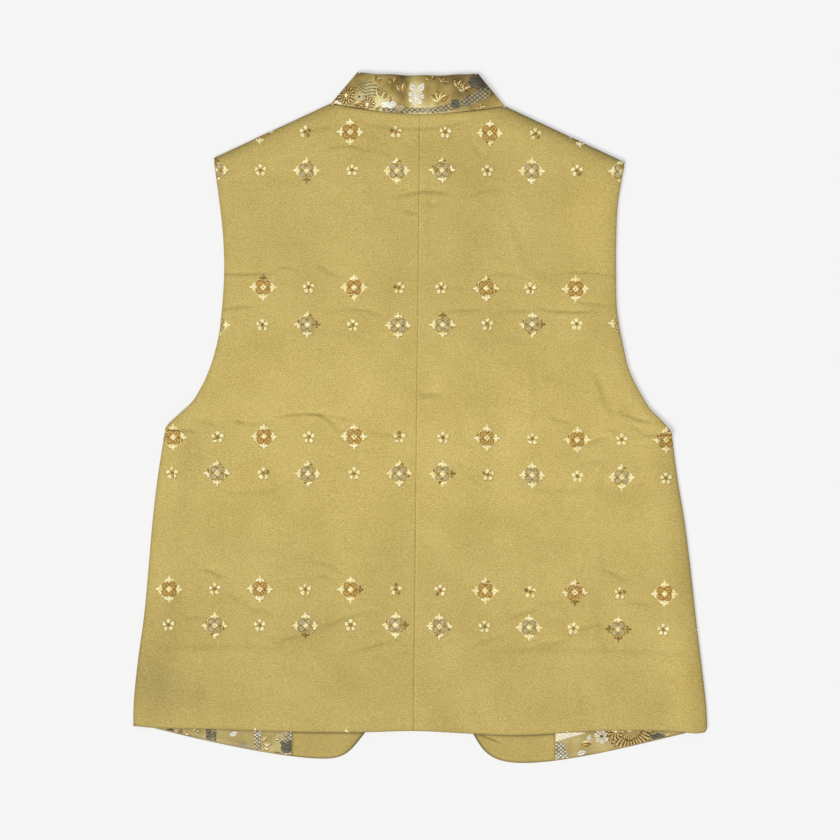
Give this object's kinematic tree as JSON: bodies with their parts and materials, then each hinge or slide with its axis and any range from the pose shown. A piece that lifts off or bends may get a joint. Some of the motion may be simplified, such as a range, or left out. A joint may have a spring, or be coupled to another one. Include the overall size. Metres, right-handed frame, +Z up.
{
  "type": "brocade waistcoat, laid flat",
  "caption": "Sleeveless stand-collar waistcoat in old-gold silk brocade, laid flat and face down, with the plain cutaway fronts and their patterned lining showing below the back hem",
  "frame": {"origin": "on the surface the waistcoat lies on, under the middle of its footprint", "axes": "+Z up, out of the back; +Y from the hem toward the neck; +X toward the right of someone looking down at the back"},
  "size_m": [0.5746, 0.6898, 0.007],
  "materials": {
    "shell": "old-gold silk brocade, fine crepe ground with a soft sheen and bands of small woven motifs",
    "facing": "plain old-gold silk, soft sheen",
    "lining": "patterned brocade, olive-gold ground with woven flowers and small checks",
    "collar": "patterned brocade, olive-gold ground with woven flowers, leaves and small checks",
    "button": "polished dark horn"
  },
  "bodies": {
    "root": {"back_left": "shell", "back_right": "shell", "front_left": "shell", "front_right": "shell", "facing_left": "facing", "facing_right": "facing", "lining_left": "lining", "lining_right": "lining", "collar": "collar", "button_1": "button", "button_2": "button", "button_3": "button", "button_4": "button", "button_5": "button"}
  },
  "joints": []
}
